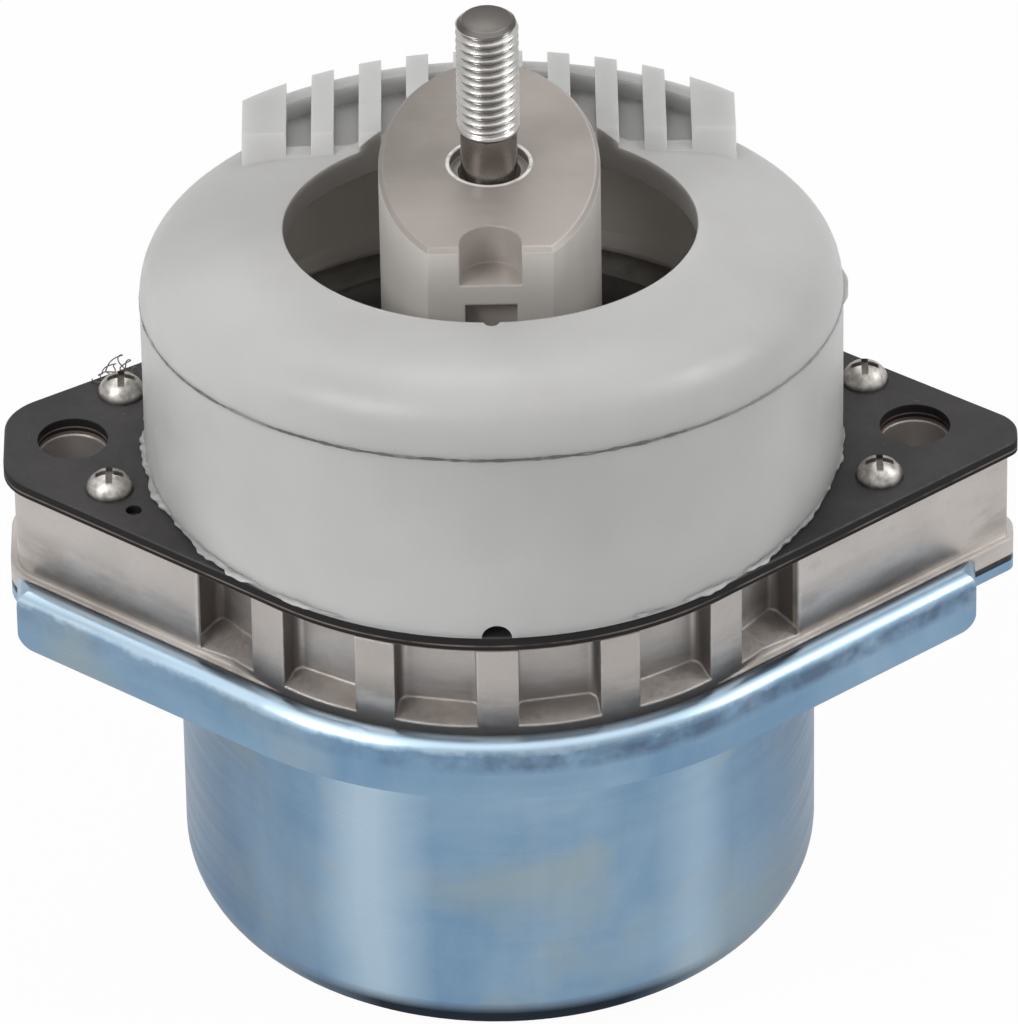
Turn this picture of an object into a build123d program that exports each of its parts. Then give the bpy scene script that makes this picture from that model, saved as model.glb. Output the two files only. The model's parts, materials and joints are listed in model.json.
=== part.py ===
"""Hydraulic engine mount: a stud and core carried on a rubber spring inside a die-cast housing, with a
nylon travel stop above, a steel base cup below, and the damping parts between them.

Millimetres, +Z up along the stud. X runs from ear to ear, and the slotted front of the core faces -Y.
The origin is the centre of the base cup's underside.
"""

import os

from build123d import *

# Heights of the stack, from the underside of the base cup upwards
CUP_DEPTH = 59.6
SHEET = 1.8
GASKET_THICKNESS = 1.2
HOUSING_HEIGHT = 19.4
SEAL_THICKNESS = 0.6
PLATE_THICKNESS = 2.4

flange_top = CUP_DEPTH + SHEET
housing_bottom = flange_top + GASKET_THICKNESS
housing_top = housing_bottom + HOUSING_HEIGHT
seal_top = housing_top + SEAL_THICKNESS
plate_top = seal_top + PLATE_THICKNESS

# Plan outline: a round body with a blunt left ear and a longer, squarer right ear.
# Each ear's front edge is tangent to the body; its back edge is cut closer, tangent to a smaller circle.
BODY_RADIUS = 56.0
EAR_HOLE_OFFSET = 11.65
LEFT_EAR_MARGIN = 11.05
LEFT_CORNER = 9.0
LEFT_BACK_Y = 3.1
LEFT_FRONT_Y = -5.5
LEFT_WAIST_INSET = 7.9
RIGHT_EAR_MARGIN = 16.35
RIGHT_BACK_CORNER = 5.5
RIGHT_FRONT_CORNER = 2.5
RIGHT_BACK_Y = -1.7
RIGHT_FRONT_Y = -3.6
RIGHT_WAIST_INSET = 4.9
PLATE_EDGE = 0.3
SEAL_INSET = 0.6
GASKET_INSET = 0.8
FLANGE_INSET = 0.5
CUTTER_SPARE = 1.0

ear_x = BODY_RADIUS + EAR_HOLE_OFFSET
left_reach = ear_x + LEFT_EAR_MARGIN
right_reach = ear_x + RIGHT_EAR_MARGIN

# Ear holes, clamp screws and the plate's tooling hole
EAR_HOLE_RADIUS = 5.5
EAR_HOLE_CLEARANCE = 0.2
SCREW_INSET_BACK = 7.65
SCREW_INSET_FRONT = 6.15
SCREW_Y_BACK = 13.0
SCREW_Y_FRONT = -13.8
SCREW_RADIUS = 2.0
SCREW_HEAD_RADIUS = 3.9
SCREW_HEAD_HEIGHT = 3.2
SCREW_LENGTH = 12.0
SCREW_CLEARANCE = 0.25
SCREW_HOLE_SPARE = 1.0
RECESS_WIDTH = 1.1
RECESS_DEPTH = 1.2
RECESS_SPAN = 4.3
TOOLING_HOLE_RADIUS = 1.3
TOOLING_HOLE_INSET = 10.1
TOOLING_HOLE_Y = -19.9

# Die-cast housing
HOUSING_INSET = 0.5
HOUSING_FLANK_INSET = 1.6
HOUSING_FOOT = 3.2
HOUSING_WALL = 9.1
PRESS_CLEARANCE = 0.02
POCKET_COUNT = 6
POCKET_PITCH = 20.5
POCKET_WIDTH = 13.2
POCKET_DEPTH = 5.0
POCKET_LEDGE_IN = 6.4
POCKET_LEDGE_OUT = 4.4
POCKET_CORNER = 1.5

bore_radius = BODY_RADIUS - HOUSING_WALL
pocket_floor = BODY_RADIUS - POCKET_DEPTH

# Bonded sleeve and main spring
SLEEVE_WALL = 2.2
SLEEVE_FLANGE_THICKNESS = 2.4
SPRING_VALLEY_INSET = 8.68
SPRING_VALLEY_ABOVE_PLATE = 0.6
SPRING_COLLAR = 2.4
SPRING_UNDER_CORE = 3.0
SPRING_EDGE = 2.5
SPRING_HAUNCH_WIDTH = 27.0
SPRING_HAUNCH_DEPTH = 34.5
SPRING_LIP = 1.0

# Core and stud
CORE_HALF_WIDTH = 17.6
CORE_HALF_DEPTH = 29.3
CORE_FRONT = 24.2
CORE_TOP_ABOVE_PLATE = 52.2
CORE_SHOULDER_ABOVE_PLATE = 10.0
CORE_TIP_BELOW_PLATE = 4.0
CORE_TIP_RADIUS = 10.0
CORE_CONE_STEP = 1.2
CORE_EDGE = 0.7
NOTCH_WIDTH = 9.8
NOTCH_DEPTH = 6.5
NOTCH_DROP = 6.9
SLOT_WIDTH = 8.2
SLOT_DEPTH = 2.0
SLOT_DROP = 10.6
SLOT_LENGTH = 9.0
STUD_RADIUS = 5.0
STUD_ABOVE_CORE = 27.4
STUD_IN_CORE = 20.0
STUD_TIP_CHAMFER = 1.2
STUD_SHANK_HEIGHT = 7.4
STUD_SHANK_RADIUS = 4.5
STUD_RECESS_RADIUS = 6.3
STUD_RECESS_DEPTH = 1.6

# Travel stop ring: its dome and crown lie in a plane that falls towards the back
STOP_OVERHANG = 0.1
STOP_WALL = 4.8
STOP_FIT = 0.25
STOP_SEAM_HEIGHT = 27.5
STOP_TOP_HEIGHT = 40.4
STOP_OPENING_RADIUS = 33.0
STOP_FULLNESS = 0.73
STOP_SLOPE = 0.12
SNAP_HEIGHT = 3.4
SNAP_DEPTH = 1.1
SNAP_PLAY = 0.3
DRAIN_NOTCH_RADIUS = 2.4
INDEX_NOTCH_RADIUS = 1.2
CROWN_HALF_WIDTH = 39.7
CROWN_DEPTH = 34.1
CROWN_LEAD = 6.0
CROWN_LEAD_DROP = 4.5
CROWN_RISE = 2.6
CROWN_WALL = 3.0
RIB_PITCH = 7.65
RIB_WIDTH = 3.6
RIB_COUNT = 8
RIB_STEP = 2.0
RIB_POCKET_DEPTH = 5.4
RIB_LAND = 3.0

stop_radius = BODY_RADIUS + STOP_OVERHANG
stop_bore = stop_radius - STOP_WALL
crown_front = stop_radius - CROWN_DEPTH

# Base cup and its rolled rim
CUP_SETBACK = 4.5
CUP_CORNER = 10.0
CUP_NECK_RADIUS = 3.0
RIM_GAP = 0.4
RIM_WIDTH = 5.2
RIM_ROLL_RADIUS = 2.5
RIM_ABOVE_FLANGE = 6.1
RIM_BELOW_FLANGE = 2.0
RIM_END_SETBACK = 1.7
RIM_END_CORNER = 2.4
BREATHER_RADIUS = 2.5
BREATHER_OFFSET = 22.0

cup_radius = BODY_RADIUS - CUP_SETBACK

# Damping parts between the housing and the cup
TRACK_CLEARANCE = 0.6
TRACK_IN_HOUSING = 5.0
TRACK_UPPER_THICKNESS = 9.0
TRACK_LOWER_THICKNESS = 3.0
CHANNEL_RADIUS = 35.5
CHANNEL_WIDTH = 6.0
CHANNEL_DEPTH = 5.4
CHANNEL_ANGLE = 320.0
PORT_RADIUS = 2.5
PORT_ANGLE = 6.0
O_RING_SECTION = 1.2
DECOUPLER_RADIUS = 26.0
DECOUPLER_THICKNESS = 2.6
DECOUPLER_PLAY = 0.8
DECOUPLER_CLEARANCE = 0.5
GRILLE_HOLE_RADIUS = 2.6
GRILLE_PITCH = 8.5
GRILLE_RINGS = 2
DIAPHRAGM_THICKNESS = 1.8
DIAPHRAGM_BEAD_HEIGHT = 3.6
DIAPHRAGM_BEAD_WIDTH = 4.0
DIAPHRAGM_MERGE = 0.2
DIAPHRAGM_DEPTH = 27.0
DIAPHRAGM_ROLL_RADIUS = 25.4
DIAPHRAGM_DISH_RADIUS = 15.5
DIAPHRAGM_DISH_RISE = 3.6
DIAPHRAGM_CENTRE_RISE = 4.5
SUPPORT_FOOT = 2.5
SUPPORT_LIP = 1.0
SUPPORT_CLEARANCE = 0.05

track_radius = bore_radius - TRACK_CLEARANCE


def circle_edge(x, y, radius):
    """A full circle on the XY plane, as an edge."""
    return Edge.make_circle(radius, Plane((x, y, 0)))


def ear(corners, waist, grow):
    """One ear in plan: its corner circles joined to the body in front and to the waist circle behind."""
    ends = [circle_edge(x, y, radius + grow) for x, y, radius in corners]
    whole = make_hull([circle_edge(0, 0, BODY_RADIUS + grow), *ends])
    behind = make_hull([circle_edge(0, 0, waist + grow), *ends])
    reach = 2 * (right_reach + grow)
    front_half = Pos(0, -reach / 2) * Rectangle(2 * reach, reach)
    return (whole & front_half) + behind


def outline(grow=0.0):
    """The mount's plan outline, moved outwards by grow: the round body and its two ears."""
    left_x = LEFT_CORNER - left_reach
    left_ends = [(left_x, LEFT_BACK_Y, LEFT_CORNER), (left_x, LEFT_FRONT_Y, LEFT_CORNER)]
    right_ends = [
        (right_reach - RIGHT_BACK_CORNER, RIGHT_BACK_Y, RIGHT_BACK_CORNER),
        (right_reach - RIGHT_FRONT_CORNER, RIGHT_FRONT_Y, RIGHT_FRONT_CORNER),
    ]
    left = ear(left_ends, BODY_RADIUS - LEFT_WAIST_INSET, grow)
    right = ear(right_ends, BODY_RADIUS - RIGHT_WAIST_INSET, grow)
    return Circle(BODY_RADIUS + grow) + left + right


def slab(sketch, bottom, top):
    """A sketch raised from one height to another."""
    return extrude(Pos(0, 0, bottom) * sketch, top - bottom)


def disc(radius, bottom, top, x=0.0, y=0.0):
    """A plain upright cylinder between two heights."""
    return Pos(x, y, bottom) * Cylinder(radius, top - bottom, align=(Align.CENTER, Align.CENTER, Align.MIN))


def turned(*points):
    """A body of revolution about Z from a closed run of (radius, height) points."""
    return revolve(Plane.XZ * make_face(Polyline(*points, close=True)), Axis.Z)


def ear_holes(radius, bottom, top):
    """The two ear bolt holes, as cutters."""
    return [disc(radius, bottom, top, side * ear_x) for side in (-1, 1)]


SCREWS = {
    "screw_rear_left": (SCREW_INSET_BACK - ear_x, SCREW_Y_BACK),
    "screw_rear_right": (ear_x - SCREW_INSET_BACK, SCREW_Y_BACK),
    "screw_front_left": (SCREW_INSET_FRONT - ear_x, SCREW_Y_FRONT),
    "screw_front_right": (ear_x - SCREW_INSET_FRONT, SCREW_Y_FRONT),
}


def screw_holes(radius, bottom, top):
    """Holes on the four clamp screws' axes, as cutters."""
    return [disc(radius, bottom, top, x, y) for x, y in SCREWS.values()]


def cut_all(body, cutters):
    """The body less each cutter."""
    for cutter in cutters:
        body -= cutter
    return body


def build_top_plate():
    """Flat black steel plate that clamps the sleeve's flange seat and carries the stop ring."""
    plate = slab(outline(), seal_top, plate_top)
    plate = chamfer(plate.edges().group_by(Axis.Z)[-1], PLATE_EDGE)
    cutters = [disc(bore_radius, seal_top, plate_top)]
    cutters += ear_holes(EAR_HOLE_RADIUS + EAR_HOLE_CLEARANCE, seal_top, plate_top)
    cutters += screw_holes(SCREW_RADIUS + SCREW_CLEARANCE, seal_top, plate_top)
    tooling_x = TOOLING_HOLE_INSET - ear_x
    cutters.append(disc(TOOLING_HOLE_RADIUS, seal_top, plate_top, tooling_x, TOOLING_HOLE_Y))
    return cut_all(plate, cutters)


def build_plate_seal():
    """Thin rubber layer between the plate and the casting."""
    seal = slab(outline(-SEAL_INSET), housing_top, seal_top)
    cutters = [disc(bore_radius, housing_top, seal_top)]
    cutters += ear_holes(EAR_HOLE_RADIUS + EAR_HOLE_CLEARANCE, housing_top, seal_top)
    cutters += screw_holes(SCREW_RADIUS + SCREW_CLEARANCE, housing_top, seal_top)
    return cut_all(seal, cutters)


def pocket_cutter():
    """One open pocket of the casting's front, with a ledge that slopes outwards at its foot."""
    reach = BODY_RADIUS + CUTTER_SPARE
    ledge_fall = (POCKET_LEDGE_IN - POCKET_LEDGE_OUT) / POCKET_DEPTH
    ledge_end = POCKET_LEDGE_IN - ledge_fall * (reach - pocket_floor)
    profile = make_face(
        Polyline(
            (pocket_floor, housing_bottom + POCKET_LEDGE_IN),
            (reach, housing_bottom + ledge_end),
            (reach, housing_top),
            (pocket_floor, housing_top),
            close=True,
        )
    )
    cutter = extrude(Plane.XZ * profile, POCKET_WIDTH / 2, both=True)
    inner = cutter.edges().filter_by(Axis.Z).group_by(Axis.X)[0]
    return fillet(inner, POCKET_CORNER)


def build_housing():
    """Die-cast alloy body: bored for the sleeve, ribbed at the front and back, with solid ears."""
    foot = slab(outline(-HOUSING_INSET), housing_bottom, housing_bottom + HOUSING_FOOT)
    upper = slab(outline(-HOUSING_FLANK_INSET), housing_bottom, housing_top)
    barrel = disc(BODY_RADIUS - HOUSING_INSET, housing_bottom, housing_top)
    housing = foot + upper + barrel
    pocket = pocket_cutter()
    first = -(POCKET_COUNT - 1) / 2 * POCKET_PITCH
    for facing in (-90, 90):
        for i in range(POCKET_COUNT):
            housing -= Rot(0, 0, facing + first + i * POCKET_PITCH) * pocket
    cutters = [disc(bore_radius, housing_bottom, housing_top)]
    cutters += ear_holes(EAR_HOLE_RADIUS, housing_bottom, housing_top)
    screw_foot = plate_top - SCREW_LENGTH - SCREW_HOLE_SPARE
    cutters += screw_holes(SCREW_RADIUS + PRESS_CLEARANCE, screw_foot, housing_top)
    return cut_all(housing, cutters)


def build_lower_gasket():
    """Rubber gasket between the casting and the base cup's flange."""
    gasket = slab(outline(-GASKET_INSET), flange_top, housing_bottom)
    cutters = [disc(bore_radius, flange_top, housing_bottom)]
    cutters += ear_holes(EAR_HOLE_RADIUS + EAR_HOLE_CLEARANCE, flange_top, housing_bottom)
    return cut_all(gasket, cutters)


def rolled_rim():
    """The flange's long edges, turned up beside the casting's foot and rolled over into an outer skirt."""
    top = flange_top + RIM_ABOVE_FLANGE
    bottom = CUP_DEPTH - RIM_BELOW_FLANGE
    bar = slab(outline(RIM_GAP + RIM_WIDTH) - outline(RIM_GAP), bottom, top)
    bar = fillet(bar.edges().group_by(Axis.Z)[-1], RIM_ROLL_RADIUS)
    channel = slab(outline(RIM_GAP + RIM_WIDTH - SHEET) - outline(RIM_GAP + SHEET), bottom, top - SHEET)
    inner_skirt = slab(outline(RIM_GAP + SHEET), bottom, CUP_DEPTH)
    web = slab(outline(RIM_GAP + SHEET), CUP_DEPTH, flange_top)
    half_width = BODY_RADIUS + RIM_GAP + RIM_WIDTH + CUTTER_SPARE
    window = Box(2 * (left_reach - RIM_END_SETBACK), 2 * half_width, top - bottom)
    window = fillet(window.edges().filter_by(Axis.Y), RIM_END_CORNER)
    return (bar - channel - inner_skirt + web) & Pos(0, 0, (top + bottom) / 2) * window


def build_base_cup():
    """Pressed steel cup with a flange in the mount's outline and rolled rims along its long edges."""
    inner = cup_radius - SHEET
    with BuildPart() as cup:
        with BuildSketch(Plane.XZ):
            with BuildLine():
                Line((0, 0), (cup_radius - CUP_CORNER, 0))
                RadiusArc((cup_radius - CUP_CORNER, 0), (cup_radius, CUP_CORNER), -CUP_CORNER)
                Line((cup_radius, CUP_CORNER), (cup_radius, flange_top))
                Line((cup_radius, flange_top), (inner, flange_top))
                Line((inner, flange_top), (inner, CUP_CORNER))
                RadiusArc((inner, CUP_CORNER), (cup_radius - CUP_CORNER, SHEET), CUP_CORNER - SHEET)
                Line((cup_radius - CUP_CORNER, SHEET), (0, SHEET))
                Line((0, SHEET), (0, 0))
            make_face()
        revolve(axis=Axis.Z)
    flange = slab(outline(-FLANGE_INSET), CUP_DEPTH, flange_top) - disc(inner, CUP_DEPTH, flange_top)
    body = cup.part + flange
    neck = [e for e in body.edges().filter_by(GeomType.CIRCLE) if abs(e.radius - cup_radius) < 0.01]
    body = fillet([e for e in neck if abs(e.center().Z - CUP_DEPTH) < 0.01], CUP_NECK_RADIUS)
    body = body + (rolled_rim() - disc(inner, CUP_DEPTH, flange_top))
    body = cut_all(body, ear_holes(EAR_HOLE_RADIUS, CUP_DEPTH, flange_top))
    return body - disc(BREATHER_RADIUS, 0, SHEET, 0, BREATHER_OFFSET)


sleeve_radius = bore_radius - PRESS_CLEARANCE
sleeve_bore = sleeve_radius - SLEEVE_WALL
sleeve_flange_top = plate_top + SLEEVE_FLANGE_THICKNESS
track_top = housing_bottom + TRACK_IN_HOUSING


def build_spring_sleeve():
    """Steel sleeve bonded round the spring: pressed into the casting, its flange resting on the plate."""
    flange_radius = stop_bore - STOP_FIT
    return turned(
        (sleeve_bore, track_top),
        (sleeve_radius, track_top),
        (sleeve_radius, plate_top),
        (flange_radius, plate_top),
        (flange_radius, sleeve_flange_top),
        (sleeve_bore, sleeve_flange_top),
    )


core_top = plate_top + CORE_TOP_ABOVE_PLATE
core_shoulder = plate_top + CORE_SHOULDER_ABOVE_PLATE
core_tip = plate_top - CORE_TIP_BELOW_PLATE
stud_top = core_top + STUD_ABOVE_CORE


def core_block():
    """The upper core: an oval block cut flat across the front."""
    oval = slab(Ellipse(CORE_HALF_WIDTH, CORE_HALF_DEPTH), core_shoulder, core_top)
    front = Pos(0, -CORE_FRONT - CORE_HALF_DEPTH, 0) * Box(
        3 * CORE_HALF_WIDTH, 2 * CORE_HALF_DEPTH, 2 * core_top
    )
    return oval - front


def core_cone():
    """The lower core, which the spring is bonded to: an oval that narrows to a round tip."""
    return loft(
        [
            Pos(0, 0, core_shoulder) * Ellipse(CORE_HALF_WIDTH - CORE_CONE_STEP, CORE_FRONT - CORE_CONE_STEP),
            Pos(0, 0, core_tip) * Circle(CORE_TIP_RADIUS),
        ]
    )


def build_core():
    """Aluminium core with the stud's counterbore, the U-shaped locating notch and the slot below it."""
    block = core_block()
    block = chamfer(block.edges().group_by(Axis.Z)[-1], CORE_EDGE)
    core = block + core_cone()
    round_end = NOTCH_DEPTH - NOTCH_WIDTH / 2
    notch = Pos(0, round_end - CORE_FRONT) * Circle(NOTCH_WIDTH / 2)
    notch += Pos(0, -CORE_FRONT) * Rectangle(NOTCH_WIDTH, 2 * round_end)
    slot = Pos(0, -CORE_FRONT) * Rectangle(SLOT_WIDTH, 2 * SLOT_DEPTH)
    slot_top = core_top - SLOT_DROP
    cutters = [
        slab(notch, core_top - NOTCH_DROP, core_top),
        slab(slot, slot_top - SLOT_LENGTH, slot_top),
        disc(STUD_RECESS_RADIUS, core_top - STUD_RECESS_DEPTH, core_top),
        disc(STUD_RADIUS + PRESS_CLEARANCE, core_top - STUD_IN_CORE, core_top),
    ]
    return cut_all(core, cutters)


def build_stud():
    """Stud screwed into the core, with a bevelled tip and a plain shank above the core."""
    foot = core_top - STUD_IN_CORE
    recess = core_top - STUD_RECESS_DEPTH
    shank = core_top + STUD_SHANK_HEIGHT
    relief = STUD_RADIUS - STUD_SHANK_RADIUS
    return turned(
        (0, foot),
        (STUD_RADIUS, foot),
        (STUD_RADIUS, recess),
        (STUD_SHANK_RADIUS, recess + relief),
        (STUD_SHANK_RADIUS, shank - relief),
        (STUD_RADIUS, shank),
        (STUD_RADIUS, stud_top - STUD_TIP_CHAMFER),
        (STUD_RADIUS - STUD_TIP_CHAMFER, stud_top),
        (0, stud_top),
    )


def build_main_spring():
    """Conical rubber spring bonded between the core's cone and the sleeve, with a collar round the core."""
    valley = plate_top + SPRING_VALLEY_ABOVE_PLATE
    valley_radius = sleeve_bore - SPRING_VALLEY_INSET
    foot = track_top + PRESS_CLEARANCE
    underside = core_tip - SPRING_UNDER_CORE
    with BuildPart() as rubber:
        with BuildSketch(Plane.XZ):
            with BuildLine():
                Line((0, underside), (CORE_TIP_RADIUS, underside))
                Spline(
                    (CORE_TIP_RADIUS, underside),
                    (sleeve_bore - SPRING_EDGE, foot),
                    tangents=[(1, 0), (1, -1)],
                )
                Line((sleeve_bore - SPRING_EDGE, foot), (sleeve_bore, foot))
                Line((sleeve_bore, foot), (sleeve_bore, sleeve_flange_top))
                Line((sleeve_bore, sleeve_flange_top), (sleeve_bore - SPRING_LIP, sleeve_flange_top))
                Spline(
                    (sleeve_bore - SPRING_LIP, sleeve_flange_top),
                    (valley_radius, valley),
                    tangents=[(-1, -1), (-1, 0)],
                )
                Line((valley_radius, valley), (0, valley))
                Line((0, valley), (0, underside))
            make_face()
        revolve(axis=Axis.Z)
    collar = loft(
        [
            Pos(0, 0, valley) * Ellipse(SPRING_HAUNCH_WIDTH, SPRING_HAUNCH_DEPTH),
            Pos(0, 0, core_shoulder) * Ellipse(CORE_HALF_WIDTH + SPRING_COLLAR, CORE_HALF_DEPTH + SPRING_COLLAR),
        ]
    )
    return rubber.part + collar - core_cone()


def dome_profile(radius, seam, top):
    """Half-section curve of the ring's dome: upright at the seam, level at the opening."""
    width = radius - STOP_OPENING_RADIUS
    rise = top - seam
    return Bezier(
        (radius, seam),
        (radius, seam + rise * STOP_FULLNESS),
        (STOP_OPENING_RADIUS + width * STOP_FULLNESS, top),
        (STOP_OPENING_RADIUS, top),
    )


def domed(radius, low, seam, top):
    """A solid of revolution under the dome's curve, level across the opening."""
    with BuildPart() as dome:
        with BuildSketch(Plane.XZ):
            with BuildLine():
                Line((0, low), (radius, low))
                Line((radius, low), (radius, seam))
                dome_profile(radius, seam, top)
                Line((STOP_OPENING_RADIUS, top), (0, top))
                Line((0, top), (0, low))
            make_face()
        revolve(axis=Axis.Z)
    return dome.part


def crown_block(seam, crown_top):
    """The crown before its ribs are cut: a raised block whose front slopes down into the dome."""
    back = stop_radius + CUTTER_SPARE
    profile = make_face(
        Polyline(
            (crown_front, seam),
            (crown_front, crown_top - CROWN_LEAD_DROP),
            (crown_front + CROWN_LEAD, crown_top),
            (back, crown_top),
            (back, seam),
            close=True,
        )
    )
    return extrude(Plane.YZ * profile, CROWN_HALF_WIDTH, both=True) & disc(stop_radius, seam, crown_top)


def crown_cuts(crown_top):
    """Cutters between the crown's ribs: a step in the outer wall, room down to the dome, and pits in it."""
    gap = RIB_PITCH - RIB_WIDTH
    reach = 2 * stop_radius
    first = -RIB_COUNT / 2 * RIB_PITCH
    centres = [first + i * RIB_PITCH for i in range(RIB_COUNT + 1)]
    strips = Sketch() + [Pos(x, reach / 2) * Rectangle(gap, reach) for x in centres]
    inside = strips & Circle(stop_radius - CROWN_WALL)
    behind_lead = Pos(0, crown_front + CROWN_LEAD + reach / 2) * Rectangle(2 * reach, reach)
    pits = (inside - Circle(STOP_OPENING_RADIUS + RIB_LAND)) & behind_lead
    cut_top = crown_top + CUTTER_SPARE
    return [
        slab(strips, crown_top - RIB_STEP, cut_top),
        slab(inside, crown_top - CROWN_RISE, cut_top),
        slab(pits, crown_top - RIB_POCKET_DEPTH, cut_top),
    ]


def build_stop_ring():
    """Moulded travel stop: a domed ring over the core with a ribbed crown at its back.

    The dome is modelled level and then leaned, so that its top and its seam fall towards the back.
    """
    seam = plate_top + STOP_SEAM_HEIGHT
    top = plate_top + STOP_TOP_HEIGHT
    crown_top = top + CROWN_RISE
    low = plate_top - STOP_SLOPE * stop_radius - CUTTER_SPARE
    solid = domed(stop_radius, low, seam, top) + crown_block(seam, crown_top)
    solid = cut_all(solid, crown_cuts(crown_top))
    cavity = domed(stop_bore, low, seam - STOP_WALL / 2, top - STOP_WALL)
    cavity += disc(STOP_OPENING_RADIUS, low, crown_top)
    level = solid - cavity
    lean = Matrix([[1, 0, 0, 0], [0, 1, 0, 0], [0, -STOP_SLOPE, 1, 0]])
    ring = level.transform_geometry(lean)
    ring -= disc(2 * stop_radius, 0, plate_top)
    bead = sleeve_flange_top + SNAP_PLAY
    ring += turned(
        (stop_bore + CUTTER_SPARE, bead),
        (stop_bore, bead),
        (stop_bore - SNAP_DEPTH, bead + SNAP_DEPTH / 2),
        (stop_bore - SNAP_DEPTH, bead + SNAP_DEPTH),
        (stop_bore, bead + SNAP_HEIGHT),
        (stop_bore + CUTTER_SPARE, bead + SNAP_HEIGHT),
    )
    bar = Rot(90, 0, 0) * Cylinder(DRAIN_NOTCH_RADIUS, 2 * STOP_WALL)
    ring -= Pos(0, -stop_radius, plate_top) * bar
    index = disc(INDEX_NOTCH_RADIUS, top - STOP_WALL, 2 * top, 0, -STOP_OPENING_RADIUS)
    return ring - index


def grille(bottom, top):
    """The decoupler's flow holes, as cutters: one in the middle and rings of holes round it."""
    holes = [disc(GRILLE_HOLE_RADIUS, bottom, top)]
    for ring in range(1, GRILLE_RINGS + 1):
        radius = ring * GRILLE_PITCH
        for spot in PolarLocations(radius, 6 * ring):
            holes.append(disc(GRILLE_HOLE_RADIUS, bottom, top, spot.position.X, spot.position.Y))
    return holes


track_joint = track_top - TRACK_UPPER_THICKNESS
track_bottom = track_joint - TRACK_LOWER_THICKNESS
o_ring_height = (track_top + housing_bottom) / 2


def build_track_upper():
    """Upper half of the orifice body: the spiral channel, the decoupler's chamber and the O-ring's groove."""
    chamber_top = track_joint + DECOUPLER_THICKNESS + DECOUPLER_PLAY
    body = disc(track_radius, track_joint, track_top)
    groove = disc(track_radius + CUTTER_SPARE, o_ring_height - O_RING_SECTION, o_ring_height + O_RING_SECTION)
    groove -= disc(bore_radius - 2 * O_RING_SECTION, 0, track_top)
    channel_top = track_joint + CHANNEL_DEPTH
    ring = disc(CHANNEL_RADIUS + CHANNEL_WIDTH / 2, track_joint, channel_top)
    ring -= disc(CHANNEL_RADIUS - CHANNEL_WIDTH / 2, track_joint, channel_top)
    gap_angle = 360 - CHANNEL_ANGLE
    gap_length = 2 * CHANNEL_RADIUS
    gap_end = Vector(gap_length, 0, 0).rotate(Axis.Z, -gap_angle)
    gap = extrude(make_face(Polyline((0, 0), (gap_length, 0), gap_end, close=True)), 2 * track_top)
    cutters = [groove, ring - gap, disc(DECOUPLER_RADIUS + DECOUPLER_CLEARANCE, track_joint, chamber_top)]
    cutters += grille(chamber_top, track_top)
    cutters.append(Rot(0, 0, PORT_ANGLE) * disc(PORT_RADIUS, channel_top, track_top, CHANNEL_RADIUS))
    return cut_all(body, cutters)


def build_track_lower():
    """Lower half of the orifice body: a flat cover with the channel's outlet and the decoupler's grille."""
    cover = disc(track_radius, track_bottom, track_joint)
    cutters = grille(track_bottom, track_joint)
    outlet = disc(PORT_RADIUS, track_bottom, track_joint, CHANNEL_RADIUS)
    cutters.append(Rot(0, 0, CHANNEL_ANGLE - PORT_ANGLE) * outlet)
    return cut_all(cover, cutters)


def build_decoupler():
    """Loose rubber disc between the two grilles."""
    return disc(DECOUPLER_RADIUS, track_joint, track_joint + DECOUPLER_THICKNESS)


def build_o_ring():
    """O-ring between the orifice body and the casting's bore."""
    major = bore_radius - PRESS_CLEARANCE - O_RING_SECTION
    return Pos(0, 0, o_ring_height) * Torus(major, O_RING_SECTION - PRESS_CLEARANCE)


bead_bottom = track_bottom - DIAPHRAGM_BEAD_HEIGHT
bead_in = track_radius - DIAPHRAGM_BEAD_WIDTH


def bellows_points(inset):
    """Points of the diaphragm's outer skin from its side wall to the axis, moved inwards by inset."""
    floor = bead_bottom - DIAPHRAGM_DEPTH + inset
    return [
        (bead_in + DIAPHRAGM_MERGE - inset, bead_bottom - SUPPORT_FOOT),
        (DIAPHRAGM_ROLL_RADIUS, floor),
        (DIAPHRAGM_DISH_RADIUS, floor + DIAPHRAGM_DISH_RISE),
        (0, floor + DIAPHRAGM_CENTRE_RISE),
    ]


def build_diaphragm():
    """Rolling rubber diaphragm: a clamped bead, a thin side wall and a shallow dished floor."""
    outer = bellows_points(0)
    inner = bellows_points(DIAPHRAGM_THICKNESS)
    wall_top = (outer[0][0], track_bottom)
    lining_top = (inner[0][0], track_bottom)
    with BuildPart() as bellows:
        with BuildSketch(Plane.XZ):
            with BuildLine():
                Line(wall_top, outer[0])
                Spline(*outer, tangents=[(0, -1), (-1, 0)])
                Line(outer[-1], inner[-1])
                Spline(*inner, tangents=[(0, -1), (-1, 0)])
                Line(inner[0], lining_top)
                Line(lining_top, wall_top)
            make_face()
        revolve(axis=Axis.Z)
    bead = disc(track_radius, bead_bottom, track_bottom) - disc(bead_in, bead_bottom, track_bottom)
    return bellows.part + bead


def build_support_ring():
    """Steel ring pressed into the cup: it carries the diaphragm's bead and centres the orifice body."""
    outer = cup_radius - SHEET - SUPPORT_CLEARANCE
    inner = track_radius + SUPPORT_CLEARANCE
    foot_in = bead_in + SUPPORT_LIP
    return turned(
        (foot_in, bead_bottom - SUPPORT_FOOT),
        (outer, bead_bottom - SUPPORT_FOOT),
        (outer, flange_top),
        (inner, flange_top),
        (inner, bead_bottom),
        (foot_in, bead_bottom),
    )


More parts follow.
